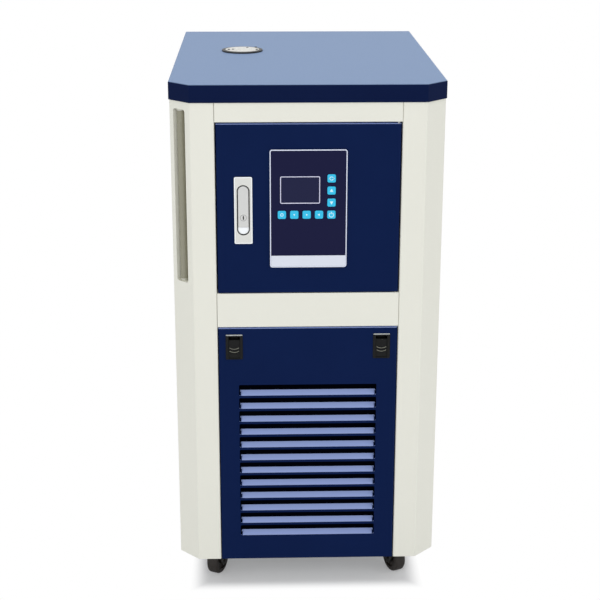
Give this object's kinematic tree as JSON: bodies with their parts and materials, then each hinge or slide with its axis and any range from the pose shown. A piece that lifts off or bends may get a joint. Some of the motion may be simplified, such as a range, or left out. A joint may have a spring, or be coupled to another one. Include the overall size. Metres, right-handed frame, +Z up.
{
  "type": "reactor temperature control unit",
  "caption": "Floor-standing heating and cooling circulator: sheet-metal cabinet on casters with hinged control door, louvred lower panel, filler cap and level slot.",
  "frame": {"origin": "on the floor, under the middle of the unit's outer box with the rear nozzles included", "axes": "+Z up, the door and louvres face -Y, the door's hinge is on the +X side"},
  "size_m": [0.43, 0.6326, 0.864],
  "materials": {
    "ivory_steel": "semi-gloss powder coat",
    "navy_steel": "semi-gloss powder coat",
    "galvanised_steel": "galvanised",
    "stainless": "brushed",
    "zinc_casting": "satin chrome plate",
    "black_nylon": "moulded",
    "panel_film": "satin film",
    "key_rubber": "satin",
    "screen": "gloss",
    "aluminium": "satin anodised",
    "clear_tube": "clear",
    "copper": "drawn",
    "compressor_black": "gloss enamel",
    "foam": "closed-cell foam",
    "brass": "machined",
    "wheel_rubber": "moulded"
  },
  "bodies": {
    "cabinet": {"base_plate": "galvanised_steel", "side_panel_left": "ivory_steel", "side_panel_right": "ivory_steel", "rear_panel": "ivory_steel", "top_cover": "navy_steel", "top_rail": "ivory_steel", "mid_rail": "ivory_steel", "mid_shelf": "galvanised_steel", "hinge_pins": "stainless", "sight_channel": "ivory_steel", "sight_tube": "clear_tube", "sight_fittings": "brass", "expansion_tank": "stainless", "filler_neck": "stainless", "heater_vessel": "foam", "liquid_pipes": "foam", "outlet_nozzle": "stainless", "inlet_nozzle": "stainless", "drain_valve": "brass", "cable_gland": "black_nylon", "control_gear": "galvanised_steel", "condenser": "aluminium", "fan_shroud": "galvanised_steel", "fan_motor": "compressor_black", "compressor": "compressor_black", "refrigerant_line": "copper", "pump_unit": "stainless", "caster_mounts": "galvanised_steel"},
    "door": {"door_panel": "navy_steel", "lock_housing": "zinc_casting", "controller_bezel": "panel_film", "controller_case": "black_nylon", "screen_lens": "screen", "name_strip": "aluminium"},
    "lever": {"lock_lever": "zinc_casting"},
    "button": {"lock_button": "zinc_casting"},
    "plug": {"lock_plug": "zinc_casting"},
    "cam": {"lock_cam": "galvanised_steel"},
    "louvred_panel": {"lower_panel": "navy_steel", "latch_housings": "black_nylon"},
    "slider_left": {"latch_slider_left": "black_nylon"},
    "slider_right": {"latch_slider_right": "black_nylon"},
    "cap": {"filler_cap": "stainless"},
    "fan": {"fan_rotor": "black_nylon"},
    "key_cycle_cap": {"key_cycle": "key_rubber"},
    "key_up_cap": {"key_up": "key_rubber"},
    "key_down_cap": {"key_down": "key_rubber"},
    "key_power_cap": {"key_power": "key_rubber"},
    "key_set_cap": {"key_set": "key_rubber"},
    "key_menu_cap": {"key_menu": "key_rubber"},
    "key_right_cap": {"key_right": "key_rubber"},
    "key_left_cap": {"key_left": "key_rubber"},
    "swivel_front_left": {"fork_front_left": "galvanised_steel"},
    "roller_front_left": {"wheel_front_left": "wheel_rubber"},
    "swivel_front_right": {"fork_front_right": "galvanised_steel"},
    "roller_front_right": {"wheel_front_right": "wheel_rubber"},
    "swivel_rear_left": {"fork_rear_left": "galvanised_steel"},
    "roller_rear_left": {"wheel_rear_left": "wheel_rubber"},
    "swivel_rear_right": {"fork_rear_right": "galvanised_steel"},
    "roller_rear_right": {"wheel_rear_right": "wheel_rubber"}
  },
  "joints": [
    {"name": "door_swing", "type": "hinge", "parent": "cabinet", "child": "door", "pos_m": [0.13827, -0.30975, 0.7985], "axis": [0, 0, 1], "range_deg": [0, 105]},
    {"name": "lever_pop_out", "type": "hinge", "parent": "door", "child": "lever", "pos_m": [-0.10113, -0.31175, 0.69371], "axis": [-1, 0, 0], "range_deg": [0, 35]},
    {"name": "button_press", "type": "slide", "parent": "door", "child": "button", "axis": [0, 1, 0], "range_m": [0, 0.003], "stiffness_N_per_m": 400},
    {"name": "key_turn", "type": "hinge", "parent": "lever", "child": "plug", "pos_m": [-0.10113, -0.31175, 0.65141], "axis": [0, 1, 0], "range_deg": [0, 90]},
    {"name": "cam_turn", "type": "hinge", "parent": "door", "child": "cam", "pos_m": [-0.10113, -0.29575, 0.69371], "axis": [0, -1, 0], "range_deg": [0, 90]},
    {"name": "panel_tilt", "type": "hinge", "parent": "cabinet", "child": "louvred_panel", "pos_m": [0, -0.30375, 0.066], "axis": [1, 0, 0], "range_deg": [0, 25]},
    {"name": "latch_slide_left", "type": "slide", "parent": "louvred_panel", "child": "slider_left", "axis": [0, 0, 1], "range_m": [0, 0.0055]},
    {"name": "latch_slide_right", "type": "slide", "parent": "louvred_panel", "child": "slider_right", "axis": [0, 0, 1], "range_m": [0, 0.0055]},
    {"name": "cap_lift", "type": "slide", "parent": "cabinet", "child": "cap", "axis": [0, 0, 1], "range_m": [0, 0.03]},
    {"name": "fan_spin", "type": "hinge", "parent": "cabinet", "child": "fan", "pos_m": [0, -0.19575, 0.2265], "axis": [0, 1, 0], "continuous": true},
    {"name": "key_cycle_press", "type": "slide", "parent": "door", "child": "key_cycle_cap", "axis": [0, 1, 0], "range_m": [0, 0.0008], "stiffness_N_per_m": 600},
    {"name": "key_up_press", "type": "slide", "parent": "door", "child": "key_up_cap", "axis": [0, 1, 0], "range_m": [0, 0.0008], "stiffness_N_per_m": 600},
    {"name": "key_down_press", "type": "slide", "parent": "door", "child": "key_down_cap", "axis": [0, 1, 0], "range_m": [0, 0.0008], "stiffness_N_per_m": 600},
    {"name": "key_power_press", "type": "slide", "parent": "door", "child": "key_power_cap", "axis": [0, 1, 0], "range_m": [0, 0.0008], "stiffness_N_per_m": 600},
    {"name": "key_set_press", "type": "slide", "parent": "door", "child": "key_set_cap", "axis": [0, 1, 0], "range_m": [0, 0.0008], "stiffness_N_per_m": 600},
    {"name": "key_menu_press", "type": "slide", "parent": "door", "child": "key_menu_cap", "axis": [0, 1, 0], "range_m": [0, 0.0008], "stiffness_N_per_m": 600},
    {"name": "key_right_press", "type": "slide", "parent": "door", "child": "key_right_cap", "axis": [0, 1, 0], "range_m": [0, 0.0008], "stiffness_N_per_m": 600},
    {"name": "key_left_press", "type": "slide", "parent": "door", "child": "key_left_cap", "axis": [0, 1, 0], "range_m": [0, 0.0008], "stiffness_N_per_m": 600},
    {"name": "swivel_turn_front_left", "type": "hinge", "parent": "cabinet", "child": "swivel_front_left", "pos_m": [-0.159, -0.26575, 0.062], "axis": [0, 0, 1], "continuous": true},
    {"name": "wheel_spin_front_left", "type": "hinge", "parent": "swivel_front_left", "child": "roller_front_left", "pos_m": [-0.15249, -0.25113, 0.025], "axis": [-0.9135, 0.4067, 0], "continuous": true},
    {"name": "swivel_turn_front_right", "type": "hinge", "parent": "cabinet", "child": "swivel_front_right", "pos_m": [0.159, -0.26575, 0.062], "axis": [0, 0, 1], "continuous": true},
    {"name": "wheel_spin_front_right", "type": "hinge", "parent": "swivel_front_right", "child": "roller_front_right", "pos_m": [0.15249, -0.25113, 0.025], "axis": [-0.9135, -0.4067, 0], "continuous": true},
    {"name": "swivel_turn_rear_left", "type": "hinge", "parent": "cabinet", "child": "swivel_rear_left", "pos_m": [-0.159, 0.22325, 0.062], "axis": [0, 0, 1], "continuous": true},
    {"name": "wheel_spin_rear_left", "type": "hinge", "parent": "swivel_rear_left", "child": "roller_rear_left", "pos_m": [-0.159, 0.23925, 0.025], "axis": [-1, 0, 0], "continuous": true},
    {"name": "swivel_turn_rear_right", "type": "hinge", "parent": "cabinet", "child": "swivel_rear_right", "pos_m": [0.159, 0.22325, 0.062], "axis": [0, 0, 1], "continuous": true},
    {"name": "wheel_spin_rear_right", "type": "hinge", "parent": "swivel_rear_right", "child": "roller_rear_right", "pos_m": [0.159, 0.23925, 0.025], "axis": [-1, 0, 0], "continuous": true}
  ]
}
